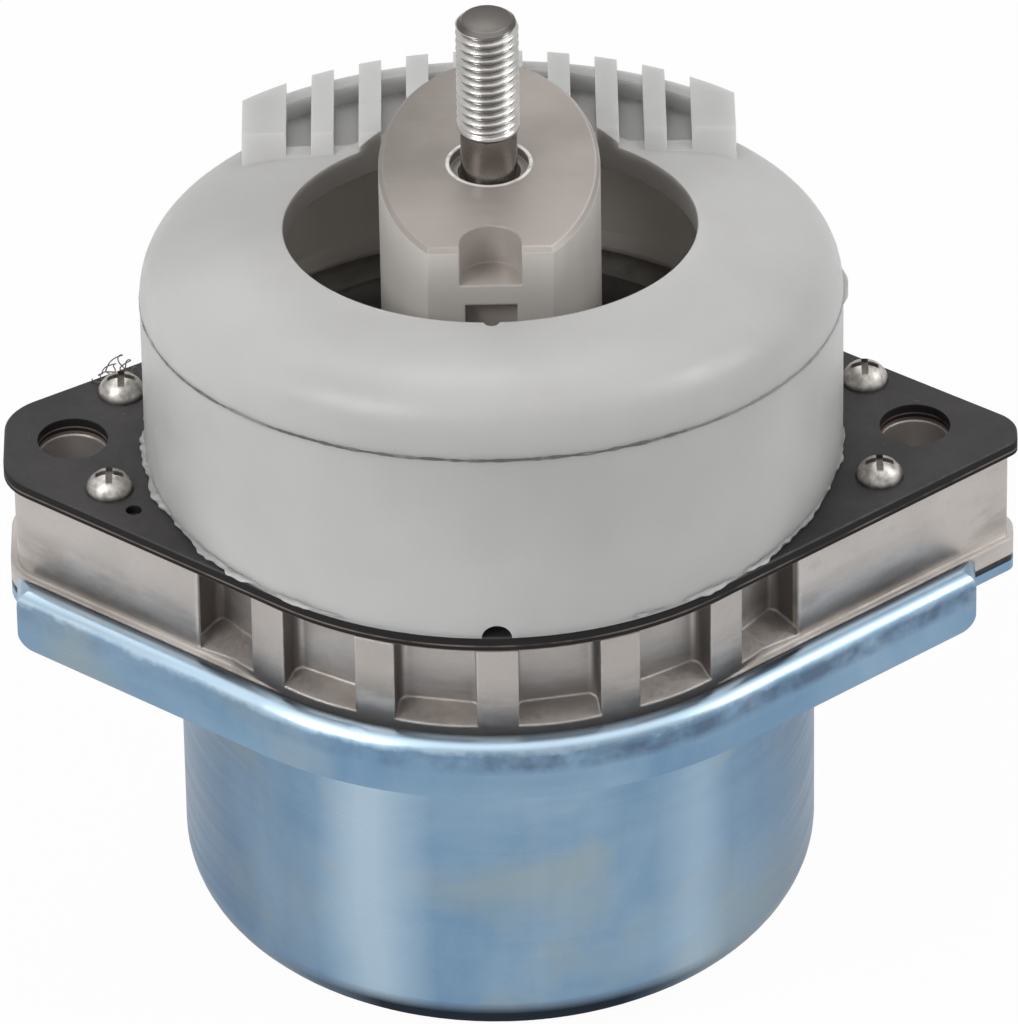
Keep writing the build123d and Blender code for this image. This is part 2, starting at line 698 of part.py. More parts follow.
def build_screw(x, y):
    """Round-head clamp screw with a cross recess, seated on the plate."""
    head = plate_top
    tip = plate_top - SCREW_LENGTH
    crown_radius = (SCREW_HEAD_RADIUS**2 + SCREW_HEAD_HEIGHT**2) / (2 * SCREW_HEAD_HEIGHT)
    ball = Pos(0, 0, head + SCREW_HEAD_HEIGHT - crown_radius) * Sphere(crown_radius)
    cap = ball & disc(SCREW_HEAD_RADIUS, head, head + SCREW_HEAD_HEIGHT)
    arm = Box(RECESS_SPAN, RECESS_WIDTH, 2 * RECESS_DEPTH)
    crest = Pos(0, 0, head + SCREW_HEAD_HEIGHT)
    screw = cap + disc(SCREW_RADIUS, tip, head) - crest * arm - crest * Rot(0, 0, 90) * arm
    return Pos(x, y, 0) * screw


PARTS = {
    "stud": build_stud,
    "core": build_core,
    "stop_ring": build_stop_ring,
    "top_plate": build_top_plate,
    "plate_seal": build_plate_seal,
    "housing": build_housing,
    "spring_sleeve": build_spring_sleeve,
    "main_spring": build_main_spring,
    "track_upper": build_track_upper,
    "track_lower": build_track_lower,
    "track_o_ring": build_o_ring,
    "decoupler": build_decoupler,
    "diaphragm": build_diaphragm,
    "support_ring": build_support_ring,
    "lower_gasket": build_lower_gasket,
    "base_cup": build_base_cup,
}

os.makedirs("parts", exist_ok=True)
for node, build in PARTS.items():
    export_step(build(), f"parts/{node}.step")
for node, (x, y) in SCREWS.items():
    export_step(build_screw(x, y), f"parts/{node}.step")
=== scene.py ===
"""Engine mount: threads, mould marks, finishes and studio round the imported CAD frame. Metres, +Z up."""

import json
import math

import bmesh
import bpy
from mathutils import Matrix, Vector, noise


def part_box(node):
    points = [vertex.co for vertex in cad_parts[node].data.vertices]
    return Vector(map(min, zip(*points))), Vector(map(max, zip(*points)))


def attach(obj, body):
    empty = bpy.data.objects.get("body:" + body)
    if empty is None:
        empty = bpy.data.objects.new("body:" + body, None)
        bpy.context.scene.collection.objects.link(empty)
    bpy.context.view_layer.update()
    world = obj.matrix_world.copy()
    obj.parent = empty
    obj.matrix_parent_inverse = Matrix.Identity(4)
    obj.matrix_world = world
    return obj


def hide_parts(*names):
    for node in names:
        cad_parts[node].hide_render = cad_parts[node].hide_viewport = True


MM = 0.001
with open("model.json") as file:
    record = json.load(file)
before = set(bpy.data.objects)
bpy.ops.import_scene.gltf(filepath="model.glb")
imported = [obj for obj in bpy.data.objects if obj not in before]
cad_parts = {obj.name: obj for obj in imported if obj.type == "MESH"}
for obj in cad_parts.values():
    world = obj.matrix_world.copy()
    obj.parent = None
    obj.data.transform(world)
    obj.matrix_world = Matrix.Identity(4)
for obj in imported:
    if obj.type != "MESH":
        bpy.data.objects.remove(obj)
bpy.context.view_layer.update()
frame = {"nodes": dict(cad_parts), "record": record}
nodes = frame["nodes"]


# Corners and centres of the nodes' boxes, in millimetres
def low(node):
    return [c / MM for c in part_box(node)[0]]


def high(node):
    return [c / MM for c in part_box(node)[1]]


def middle(node):
    return [(a + b) / 2 for a, b in zip(low(node), high(node))]


# Sizes and places are in millimetres, angles in radians round the stud's axis.

# Plate and seal
PLATE_TOP = high("top_plate")[2]
PLATE_EDGE = PLATE_TOP - 0.25
PLATE_BURR = low("top_plate")[2] + 0.75
SEAL_FOOT = low("plate_seal")[2] - 0.1

# Stop ring
RING_RADIUS = high("stop_ring")[0]
RING_SLOPE = 0.12
RING_OPENING = 33.1
RING_BORE = 51.35
RING_CEILING = PLATE_TOP + 35.7
SEAM_HEIGHT = PLATE_TOP + 27.5
SEAM_STANDOFF = 0.015
SEAM_FLOOR = PLATE_TOP + 8
SEAM_FADE_START = 0.60
SEAM_FADE_END = 0.74

# Core
CORE_TOP = high("core")[2]
CORE_FRONT = low("core")[1]
CORE_RECESS = 6.3
NOTCH_REACH = 5.2
COUNTERBORE_HIGHLIGHT_RADIUS = CORE_RECESS + 0.3
EDGE_HIGHLIGHT_RADIUS = CORE_RECESS + 0.6
WALLS_RADIUS = CORE_RECESS + 1

# Stud and its thread
STUD_TOP = high("stud")[2]
STUD_FOOT = low("stud")[2]
RECESS_DEPTH = 1.6
SHANK_RADIUS = 4.5
THREAD_RADIUS = 5.0
THREAD_ROOT = 4.12
THREAD_PITCH = 1.5
THREAD_START = STUD_TOP - 20.2
THREAD_END = STUD_TOP - 0.9
THREAD_RUNOUT = 1.1
THREAD_CREST = 0.12
THREAD_FLANK = 0.78
THREAD_ROWS = 150
THREAD_SIDES = 72
TIP_RADIUS = 3.85
TIP_EDGE = 0.12
TIP_ROWS = 8

# Casting
HOUSING_FOOT = low("housing")[2]
BODY_RADIUS = 56.0
POCKET_RADIUS = BODY_RADIUS - 0.4
FOOT_RADIUS = BODY_RADIUS + 1.5
FOOT_DARK_LOW = HOUSING_FOOT + 1.4
FOOT_DARK_HIGH = HOUSING_FOOT + 2.6
DARK_REFLECTION_HEIGHT = HOUSING_FOOT + 7.5
DARK_REFLECTION_HALF = 2.0
DARK_REFLECTION_SOFT = 4.5

# Cup and its rim
CUP_RADIUS = 51.5
CUP_BAND_LEFT = -0.42
CUP_BAND_RIGHT = 0.66
CUP_FOOT_HIGH = 8.8
CUP_FOOT_LOW = 6.0
RIM_SHADE = high("base_cup")[2] - 3.2

# Screws
CROSS_HALF_WIDTH = 0.52
CROSS_REACH = 2.3
CROSS_DEPTH = 1.75

# Thin ridges round the ring
RIDGE_STEPS_PER_DEGREE = 3
RIDGE_CREST_SHARE = 0.3
NUB_ANGLE = math.radians(2)
FLASH_LEFT = math.radians(203)
FLASH_RIGHT = math.radians(326)

# Fibres, each with its turn round the screw, length, rise and seed
FIBRE_BEHIND = 2.6
FIBRE_SPREAD = (2.2, 1.2)
FIBRE_CURL = 3.64
FIBRE_RADIUS = 0.11
FIBRE_SIDES = 5
FIBRE_STEPS = 40
FIBRES = (
    (2.2, 5.5, 2.6, 1.0),
    (1.2, 4.6, 3.4, 2.0),
    (2.9, 4.8, 1.6, 3.0),
    (0.6, 3.8, 2.2, 4.0),
    (1.8, 5.0, 4.4, 5.0),
)

# Marks on edges: samples of the rounded normal, and the cosines at which the mark starts and is full
EDGE_SAMPLES = 3
EDGE_START = 0.995
EDGE_FULL = 0.93

# Camera and studio, in metres
CAMERA_ELEVATION = math.radians(35.68)
CAMERA_ROLL = math.radians(-0.96)
CAMERA_DISTANCE = 2.0
CAMERA_TARGET = Vector((0.00222, 0.0, 0.06911))
CAMERA_LENS = 435.7
FLOOR_REACH = 6.0
FLOOR_DROP = 0.0002
FLOOR_COLOR = (0.82, 0.82, 0.82)
FLOOR_WHITE_SEEN = 0.97
FLOOR_WHITE_MIRRORED = 0.5
WORLD_LIGHT = 0.42
SKY_LOW_LIGHT = 0.62
SKY_HIGH_LIGHT = 1.45
SKY_LOW_END = 0.66
SKY_HIGH_END = 0.93
LAMP_TARGET = Vector((0, 0, 0.08))
SOFTBOXES = {
    "softbox_left": {"towards": (-0.62, -0.50, 0.64), "distance": 1.1, "size": (0.42, 0.42), "power": 4.6},
    "softbox_right": {"towards": (0.785, -0.09, 0.61), "distance": 1.1, "size": (0.42, 0.5), "power": 2.9},
    "softbox_top": {"towards": (-0.1, 0.5, 0.9), "distance": 1.3, "size": (0.7, 0.5), "power": 2.2},
}


def make_camera():
    """A long lens above the front, turned slightly about its own axis."""
    tilt, roll = CAMERA_ELEVATION, CAMERA_ROLL
    back = Vector((0, -math.cos(tilt), math.sin(tilt)))
    side = Vector((1, 0, 0))
    up = Vector((0, math.sin(tilt), math.cos(tilt)))
    right = math.cos(roll) * side + math.sin(roll) * up
    upright = -math.sin(roll) * side + math.cos(roll) * up
    place = CAMERA_TARGET + CAMERA_DISTANCE * back
    data = bpy.data.cameras.new("camera")
    data.lens = CAMERA_LENS
    data.clip_start = 0.05
    data.clip_end = 20
    data.dof.use_dof = False
    cam = bpy.data.objects.new("camera", data)
    rows = [[right[i], upright[i], back[i], place[i]] for i in range(3)] + [[0, 0, 0, 1]]
    cam.matrix_world = Matrix(rows)
    bpy.context.scene.collection.objects.link(cam)
    bpy.context.scene.camera = cam


# Node helper
class Graph:
    """A material's node tree with short calls for the nodes used here."""

    def __init__(self, name):
        self.material = bpy.data.materials.new(name)
        self.material.use_nodes = True
        self.tree = self.material.node_tree
        self.bsdf = self.tree.nodes["Principled BSDF"]
        self.place = self.add("ShaderNodeTexCoord").outputs["Object"]

    def add(self, kind, **settings):
        node = self.tree.nodes.new(kind)
        for key, value in settings.items():
            setattr(node, key, value)
        return node

    def feed(self, socket, value):
        if isinstance(value, bpy.types.NodeSocket):
            self.tree.links.new(value, socket)
        else:
            socket.default_value = value

    def stretch(self, sx, sy, sz):
        node = self.add("ShaderNodeMapping")
        self.feed(node.inputs["Vector"], self.place)
        node.inputs["Scale"].default_value = (sx, sy, sz)
        return node.outputs["Vector"]

    def axes(self):
        split = self.add("ShaderNodeSeparateXYZ")
        self.feed(split.inputs[0], self.place)
        return list(split.outputs)

    def length(self, x, y):
        return self.math("SQRT", self.math("ADD", self.times(x, x), self.times(y, y)))

    def around(self):
        """(angle, radius, height) round the stud's axis: the angle is 0 in front and grows to the right."""
        x, y, z = self.axes()
        return self.math("ARCTAN2", x, self.times(y, -1.0)), self.length(x, y), z

    def folded(self):
        """Angle from the front, with the back folded onto it."""
        x, y = self.axes()[:2]
        return self.math("ARCTAN2", x, self.size(y))

    def facing(self):
        """(sideways, outward, upward) parts of the surface's normal round the stud's axis."""
        x, y = self.axes()[:2]
        normal = self.add("ShaderNodeSeparateXYZ")
        self.feed(normal.inputs[0], self.add("ShaderNodeNewGeometry").outputs["Normal"])
        nx, ny, nz = normal.outputs
        flat = self.length(x, y)
        across = self.math("SUBTRACT", self.times(x, ny), self.times(y, nx))
        outward = self.math("ADD", self.times(x, nx), self.times(y, ny))
        return self.math("DIVIDE", across, flat), self.math("DIVIDE", outward, flat), nz

    def band(self, value, centre, half, soft):
        """1 within half of the centre, falling to 0 over the soft width."""
        away = self.size(self.math("SUBTRACT", value, centre))
        return self.span(away, half + soft, half)

    def edges(self, radius_mm):
        """Mask of the narrow strips along edges, and the rounded normal that it comes from."""
        rounded = self.add("ShaderNodeBevel", samples=EDGE_SAMPLES)
        rounded.inputs["Radius"].default_value = radius_mm * MM
        flat = self.add("ShaderNodeNewGeometry").outputs["Normal"]
        dot = self.add("ShaderNodeVectorMath", operation="DOT_PRODUCT")
        self.feed(dot.inputs[0], rounded.outputs[0])
        self.feed(dot.inputs[1], flat)
        return self.span(dot.outputs["Value"], EDGE_START, EDGE_FULL), rounded.outputs[0]

    def noise(self, scale, detail, rough, vector=None, distortion=0.0):
        """Cloudy noise from 0 to 1, with its scale in clouds per metre."""
        node = self.add("ShaderNodeTexNoise")
        self.feed(node.inputs["Vector"], vector or self.place)
        node.inputs["Scale"].default_value = scale
        node.inputs["Detail"].default_value = detail
        node.inputs["Roughness"].default_value = rough
        node.inputs["Distortion"].default_value = distortion
        return node.outputs["Fac"]

    def math(self, operation, a, b=0.0):
        node = self.add("ShaderNodeMath", operation=operation)
        self.feed(node.inputs[0], a)
        self.feed(node.inputs[1], b)
        return node.outputs[0]

    def times(self, first, *others):
        for other in others:
            first = self.math("MULTIPLY", first, other)
        return first

    def size(self, value):
        return self.math("ABSOLUTE", value)

    def below(self, value, limit_mm):
        return self.math("LESS_THAN", value, limit_mm * MM)

    def above(self, value, limit_mm):
        return self.math("GREATER_THAN", value, limit_mm * MM)

    def span(self, value, from_low, from_high, to_low=0.0, to_high=1.0):
        """The value carried from one range over to the other, and held at its ends."""
        node = self.add("ShaderNodeMapRange")
        self.feed(node.inputs["Value"], value)
        for key, number in (
            ("From Min", from_low),
            ("From Max", from_high),
            ("To Min", to_low),
            ("To Max", to_high),
        ):
            node.inputs[key].default_value = number
        return node.outputs["Result"]

    def mix(self, factor, a, b):
        node = self.add("ShaderNodeMix", data_type="RGBA")
        self.feed(node.inputs["Factor"], factor)
        for socket, value in ((node.inputs[6], a), (node.inputs[7], b)):
            self.feed(socket, value if isinstance(value, bpy.types.NodeSocket) else (*value, 1))
        return node.outputs[2]

    def paint(self, under, mask, strength, color):
        """The colour laid over what is under it where the mask is 1, at the given strength."""
        return self.mix(self.times(mask, strength), under, color)

    def bump(self, height, strength, distance_mm, normal=None):
        node = self.add("ShaderNodeBump")
        self.feed(node.inputs["Height"], height)
        node.inputs["Strength"].default_value = strength
        node.inputs["Distance"].default_value = distance_mm * MM
        if normal is not None:
            self.feed(node.inputs["Normal"], normal)
        return node.outputs["Normal"]

    def finish(self, color, roughness, normal=None, **settings):
        flat_color = not isinstance(color, bpy.types.NodeSocket)
        self.feed(self.bsdf.inputs["Base Color"], (*color, 1) if flat_color else color)
        self.feed(self.bsdf.inputs["Roughness"], roughness)
        if normal is not None:
            self.feed(self.bsdf.inputs["Normal"], normal)
        for key, value in settings.items():
            self.bsdf.inputs[key.replace("_", " ").title().replace("Ior", "IOR")].default_value = value
        return self.material


# Materials
def nylon():
    """Milky nylon, painted lighter inside the bore to lift its shade, with painted shade in the opening's lip
    and a painted shadow along the parting line.
    """
    dark_milk, pale_milk = (0.545, 0.543, 0.533), (0.63, 0.628, 0.62)
    stain = (0.55, 0.53, 0.515)
    bore_painted_light = (0.74, 0.71, 0.68)
    lip_painted_shade = (0.26, 0.247, 0.23)
    seam_painted_shadow = (0.19, 0.185, 0.178)

    g = Graph("milky_nylon")
    angle, flat, z = g.around()
    y = g.axes()[1]
    color = g.mix(g.span(g.noise(22, 3, 0.5), 0.35, 0.68), dark_milk, pale_milk)
    flow = g.noise(60, 5, 0.6, vector=g.stretch(1, 1, 0.35))
    color = g.mix(g.span(flow, 0.55, 0.75, 0, 0.35), color, stain)

    level = g.math("ADD", z, g.times(y, RING_SLOPE))
    bore = g.times(g.below(flat, RING_BORE), g.below(level, RING_CEILING))
    # Painted light: the inside of the bore is painted lighter to lift its shade.
    color = g.paint(color, bore, 0.8, bore_painted_light)
    # Painted shade: the opening's lip is darkened where shade falls inside the ring.
    color = g.paint(color, g.below(flat, RING_OPENING), 0.85, lip_painted_shade)

    # Painted shadow: a dark line on the parting line and its nub for the shadow under the overhanging edge,
    # weaker to the right and broken up by noise.
    seam = g.times(g.above(flat, RING_RADIUS + SEAM_STANDOFF), g.above(z, SEAM_FLOOR))
    fade = g.span(angle, SEAM_FADE_END, SEAM_FADE_START, 0.2, 1.0)
    painted_mark_strength = g.times(fade, g.span(g.noise(160, 3, 0.6), 0.38, 0.52, 0.35, 1.0))
    color = g.mix(g.times(seam, painted_mark_strength), color, seam_painted_shadow)

    rough = g.span(g.noise(140, 4, 0.6), 0.3, 0.7, 0.3, 0.46)
    skin = g.bump(g.noise(900, 2, 0.5), 0.12, 0.05)
    skin = g.bump(g.noise(45, 2, 0.5), 0.5, 0.3, skin)
    return g.finish(
        color,
        rough,
        skin,
        subsurface_weight=0.85,
        subsurface_radius=(1.0, 1.0, 1.0),
        subsurface_scale=0.006,
        ior=1.5,
    )


def cast_alloy():
    """Die-cast skin with painted highlights along its edges, painted shade in its pockets and corners, and a
    brown painted dark reflection low on its walls near the foot.
    """
    dark_skin, pale_skin = (0.53, 0.49, 0.46), (0.66, 0.62, 0.59)
    fleck = (0.38, 0.34, 0.32)
    dust_and_painted_shade, pocket_side_painted_shade = (0.34, 0.305, 0.28), (0.10, 0.088, 0.08)
    foot_shadow = (0.03, 0.027, 0.025)
    brown = (0.22, 0.19, 0.17)
    cast_edge_painted_highlight = (0.92, 0.89, 0.86)

    g = Graph("die_cast_alloy")
    flat, z = g.around()[1:]
    across = g.facing()[0]
    color = g.mix(g.span(g.noise(40, 4, 0.55), 0.3, 0.7), dark_skin, pale_skin)
    color = g.mix(g.span(g.noise(260, 3, 0.5), 0.62, 0.78, 0, 0.3), color, fleck)

    pocket = g.below(flat, POCKET_RADIUS)
    side = g.times(pocket, g.span(g.size(across), 0.45, 0.8))
    # Pockets darkened: dust in them and painted shade.
    color = g.paint(color, pocket, 0.3, dust_and_painted_shade)
    # Painted shade: dark stripes on the pockets' side walls.
    color = g.paint(color, side, 0.75, pocket_side_painted_shade)
    foot = g.times(g.span(z, FOOT_DARK_HIGH * MM, FOOT_DARK_LOW * MM), g.below(flat, FOOT_RADIUS))
    color = g.paint(color, foot, 0.85, foot_shadow)
    # Painted reflection: brown streaks low on the walls stand in for the dark gap reflected there.
    low_wall = g.band(z, DARK_REFLECTION_HEIGHT * MM, DARK_REFLECTION_HALF * MM, DARK_REFLECTION_SOFT * MM)
    dark_reflection_streaks = g.span(g.noise(1.0, 4, 0.6, vector=g.stretch(45, 45, 160)), 0.42, 0.6, 0.05, 0.5)
    color = g.mix(g.times(low_wall, dark_reflection_streaks), color, brown)

    # Painted highlight: pale colour along the edges, broken up by noise.
    edge, rounded = g.edges(0.55)
    painted_mark_strength = g.span(g.noise(90, 3, 0.6), 0.35, 0.6, 0.15, 0.8)
    color = g.mix(g.times(edge, painted_mark_strength), color, cast_edge_painted_highlight)
    grain = g.noise(1500, 3, 0.6)
    skin = g.bump(grain, 0.25, 0.06, rounded)
    skin = g.bump(g.noise(200, 3, 0.6), 0.25, 0.12, skin)
    return g.finish(color, g.span(grain, 0.3, 0.7, 0.36, 0.52), skin, metallic=0.8)


def core_alloy():
    """Matt machined alloy with painted light: shaded to the left, lit to the right, at the front and on its
    walls, with painted highlights round the stud's counterbore and on its edges.
    """
    dark_painted_shade, pale_painted_shade = (0.225, 0.2, 0.182), (0.305, 0.273, 0.25)
    dark_light, pale_light = (0.37, 0.33, 0.305), (0.46, 0.415, 0.385)
    front_light = (0.49, 0.44, 0.41)
    side_light = (0.80, 0.765, 0.73)
    counterbore_painted_highlight = (0.98, 0.96, 0.94)
    core_edge_painted_highlight = (0.95, 0.93, 0.9)

    g = Graph("machined_core")
    x, y = g.axes()[:2]
    flat = g.around()[1]
    upward = g.facing()[2]
    mottle = g.span(g.noise(55, 4, 0.6), 0.3, 0.7)
    light = g.mix(mottle, dark_light, pale_light)
    darker_tone = g.mix(mottle, dark_painted_shade, pale_painted_shade)
    # Painted light: a shaded copy of the colour to the left and a lit copy to the right.
    color = g.mix(g.span(x, -16 * MM, 10 * MM), darker_tone, light)
    # Painted light: the front of the top is painted lighter.
    color = g.mix(g.span(y, -4 * MM, -14 * MM, 0, 0.6), color, front_light)

    # Painted light: the walls are painted lighter, less so in the notch.
    walls = g.times(g.span(upward, 0.5, 0.2), g.above(flat, WALLS_RADIUS))
    in_notch = g.times(g.below(g.size(x), NOTCH_REACH), g.above(y, CORE_FRONT + 0.3), g.below(y, 0))
    color = g.mix(g.times(walls, g.span(in_notch, 0, 1, 1.0, 0.2)), color, side_light)

    # Painted highlight: a bright broken ring round the stud's counterbore.
    ring = g.times(g.band(flat, COUNTERBORE_HIGHLIGHT_RADIUS * MM, 0.2 * MM, 0.22 * MM), g.span(upward, 0.5, 0.8))
    broken = g.span(g.noise(320, 3, 0.6), 0.36, 0.5, 0.25, 0.95)
    color = g.mix(g.times(ring, broken), color, counterbore_painted_highlight)
    # Painted highlight: pale colour along the edges, near the counterbore and stronger to the right.
    edge, rounded = g.edges(0.45)
    bright = g.math("MAXIMUM", g.below(flat, EDGE_HIGHLIGHT_RADIUS), g.span(x, 4 * MM, 14 * MM, 0.15, 0.85))
    color = g.mix(g.times(edge, bright), color, core_edge_painted_highlight)

    lines = g.noise(40, 4, 0.6, vector=g.stretch(1, 26, 1))
    skin = g.bump(lines, 0.12, 0.03, rounded)
    skin = g.bump(g.noise(1400, 2, 0.5), 0.15, 0.03, skin)
    return g.finish(color, g.span(lines, 0.3, 0.7, 0.36, 0.5), skin, metallic=0.3)


def plain_metal(name, shade):
    """Mottled grey metal of the hidden pieces."""
    g = Graph(name)
    pale = tuple(min(1.0, c * 1.12) for c in shade)
    darker_tone = tuple(c * 0.8 for c in shade)
    color = g.mix(g.span(g.noise(240, 4, 0.6), 0.3, 0.7), darker_tone, pale)
    rough = g.span(g.noise(900, 3, 0.6), 0.3, 0.7, 0.32, 0.5)
    return g.finish(color, rough, g.bump(g.noise(1800, 2, 0.5), 0.2, 0.03), metallic=1.0)


def screw_steel(node):
    """Dull zinc-plated head with painted shade in its cross recess and a painted shadow under its rim."""
    dark_zinc, pale_zinc = (0.36, 0.335, 0.30), (0.70, 0.68, 0.65)
    cross_painted_shade = (0.07, 0.06, 0.05)
    rim_painted_shadow = (0.05, 0.042, 0.035)

    g = Graph("steel_of_" + node)
    x, y, z = g.axes()
    centre = middle(node)
    top = high(node)[2]
    near_x = g.size(g.math("SUBTRACT", x, centre[0] * MM))
    near_y = g.size(g.math("SUBTRACT", y, centre[1] * MM))
    arm = g.math("MINIMUM", near_x, near_y)
    reach = g.math("MAXIMUM", near_x, near_y)
    mottle = g.noise(650, 4, 0.6)
    color = g.mix(g.span(mottle, 0.35, 0.65), dark_zinc, pale_zinc)

    # Painted shade: the cross recess is darkened.
    in_arm = g.span(arm, (CROSS_HALF_WIDTH + 0.1) * MM, (CROSS_HALF_WIDTH - 0.1) * MM)
    in_reach = g.span(reach, (CROSS_REACH + 0.2) * MM, (CROSS_REACH - 0.2) * MM)
    in_depth = g.span(z, (top - CROSS_DEPTH - 0.15) * MM, (top - CROSS_DEPTH + 0.15) * MM)
    color = g.paint(color, g.times(in_arm, in_reach, in_depth), 0.8, cross_painted_shade)
    # Painted shadow: darker just above the plate, under the head's rim.
    under = g.span(z, (PLATE_TOP + 0.9) * MM, (PLATE_TOP + 0.2) * MM)
    color = g.paint(color, under, 0.85, rim_painted_shadow)
    return g.finish(color, g.span(mottle, 0.3, 0.7, 0.32, 0.5), g.bump(mottle, 0.35, 0.12), metallic=0.9)


def stud_steel():
    """Bright rolled thread, with a sawn end and a stained shank."""
    dark_steel, pale_steel = (0.60, 0.585, 0.565), (0.82, 0.80, 0.78)
    groove_dark = (0.10, 0.095, 0.09)
    front_shade = (0.22, 0.21, 0.20)
    shank_stain = (0.17, 0.15, 0.13)
    bevel_shade = (0.16, 0.15, 0.14)
    sawn_end = (0.165, 0.155, 0.145)

    g = Graph("stud_steel")
    angle, flat, z = g.around()
    color = g.mix(g.span(g.noise(240, 4, 0.6), 0.3, 0.7), dark_steel, pale_steel)
    groove = g.span(flat, (THREAD_ROOT + 0.35) * MM, (THREAD_ROOT + 0.1) * MM)
    threaded = g.span(z, THREAD_START * MM, (THREAD_START + 1) * MM)
    # Darker in the thread's roots.
    color = g.paint(color, g.times(groove, threaded), 0.75, groove_dark)
    color = g.paint(color, g.times(g.band(angle, 0.0, 0.12, 0.5), threaded), 0.55, front_shade)
    shank = g.span(z, (THREAD_START + 0.6) * MM, (THREAD_START - 0.4) * MM, 0, 0.85)
    color = g.mix(shank, color, shank_stain)
    color = g.mix(g.band(z, (STUD_TOP - 0.55) * MM, 0.25 * MM, 0.1 * MM), color, bevel_shade)
    cap = g.span(z, (STUD_TOP - 0.3) * MM, (STUD_TOP - 0.1) * MM)
    color = g.mix(cap, color, sawn_end)
    rough = g.math("MAXIMUM", g.span(g.noise(900, 3, 0.6), 0.3, 0.7, 0.18, 0.3), g.times(cap, 0.5))
    return g.finish(color, rough, g.bump(g.noise(1800, 2, 0.5), 0.2, 0.03), metallic=1.0)


def zinc_steel():
    """Blue zinc over deep-drawn steel: pale painted reflections and draw marks down the cup, painted shade at
    its sides, a painted shadow at its foot, a painted highlight on the rim's crest, and beige stains.
    """
    dark_blue, pale_blue = (0.195, 0.33, 0.485), (0.29, 0.435, 0.585)
    beige = (0.37, 0.43, 0.43)
    draw_marks_and_painted_reflection = (0.53, 0.67, 0.78)
    side_painted_shade = (0.13, 0.20, 0.30)
    foot_shadow = (0.02, 0.03, 0.045)
    rim_shadow = (0.10, 0.145, 0.22)
    crest_painted_highlight = (0.56, 0.715, 0.84)
    inner_shadow = (0.08, 0.12, 0.19)

    g = Graph("blue_zinc_steel")
    angle = g.folded()
    flat, z = g.around()[1:]
    outward, upward = g.facing()[1:]
    wall = g.below(flat, CUP_RADIUS + 0.2)
    rim = g.math("SUBTRACT", 1.0, wall)
    cloud = g.noise(30, 5, 0.6, distortion=0.4)
    color = g.mix(g.span(cloud, 0.35, 0.65), dark_blue, pale_blue)
    stains = g.noise(34, 4, 0.55, vector=g.stretch(1, 1, 1.4), distortion=0.5)
    color = g.mix(g.span(stains, 0.5, 0.68, 0, 0.62), color, beige)

    # Marks on the wall: pale painted reflections of the side lamps joined with draw marks, painted shade
    # towards the sides, and a painted shadow at the foot
    waves = g.noise(30, 2, 0.5)
    swayed = g.math("ADD", angle, g.times(g.span(waves, 0.3, 0.7, -1, 1), 0.03))
    left_band = g.band(swayed, CUP_BAND_LEFT, 0.03, 0.17)
    right_band = g.times(g.band(swayed, CUP_BAND_RIGHT, 0.02, 0.13), 0.5)
    drawn = g.span(g.noise(1.0, 3, 0.5, vector=g.stretch(70, 70, 2.0)), 0.58, 0.78, 0, 0.25)
    # Painted reflection: pale bands where the side lamps would reflect, joined with pale draw marks.
    pale = g.math("MAXIMUM", g.math("MAXIMUM", left_band, right_band), drawn)
    color = g.paint(color, g.times(pale, wall), 0.75, draw_marks_and_painted_reflection)
    # Painted shade: the wall is darker towards its sides.
    side = g.span(g.size(g.math("SUBTRACT", angle, 0.1)), 0.62, 1.15, 0, 0.55)
    color = g.mix(g.times(side, wall), color, side_painted_shade)
    foot = g.span(z, CUP_FOOT_HIGH * MM, CUP_FOOT_LOW * MM)
    foot = g.times(foot, g.span(g.size(angle), 0.85, 0.4, 0.25, 1.0))
    color = g.mix(foot, color, foot_shadow)

    # Marks on the rim: a patchy painted shadow band below the crest, a painted highlight on the crest, and
    # painted shade on the inner side
    patchy = g.span(g.noise(130, 3, 0.6), 0.35, 0.6)
    shaded = g.times(g.band(z, RIM_SHADE * MM, 0.8 * MM, 1.6 * MM), g.span(upward, 0.5, 0.2))
    shaded = g.times(shaded, g.span(angle, -0.5, 0.1, 0.25, 1.0), rim, patchy)
    color = g.paint(color, shaded, 0.85, rim_shadow)
    # Painted highlight: pale colour on the upward-facing crest of the rim.
    ragged = g.span(g.noise(220, 3, 0.6), 0.4, 0.62, -0.1, 0.16)
    crest = g.times(g.span(g.math("ADD", upward, ragged), 0.25, 0.6), rim)
    color = g.mix(g.times(crest, g.span(angle, 0.4, 1.0, 0.78, 0.42)), color, crest_painted_highlight)
    inner = g.times(g.span(outward, -0.02, -0.35), rim)
    color = g.paint(color, inner, 0.7, inner_shadow)

    streaks = g.noise(1.0, 5, 0.6, vector=g.stretch(20, 20, 620))
    rough = g.math("MAXIMUM", g.span(streaks, 0.3, 0.7, 0.24, 0.4), g.times(foot, 0.8))
    skin = g.bump(streaks, 0.1, 0.04)
    skin = g.bump(waves, 0.2, 0.2, skin)
    material = g.finish(color, rough, skin, anisotropic=0.6, anisotropic_rotation=0.25)
    g.feed(g.bsdf.inputs["Metallic"], g.span(foot, 0, 1, 1.0, 0.0))
    g.feed(g.bsdf.inputs["Specular IOR Level"], g.span(foot, 0, 1, 0.5, 0.1))
    tangent = g.add("ShaderNodeTangent", direction_type="RADIAL", axis="Z")
    g.feed(g.bsdf.inputs["Tangent"], tangent.outputs[0])
    return material


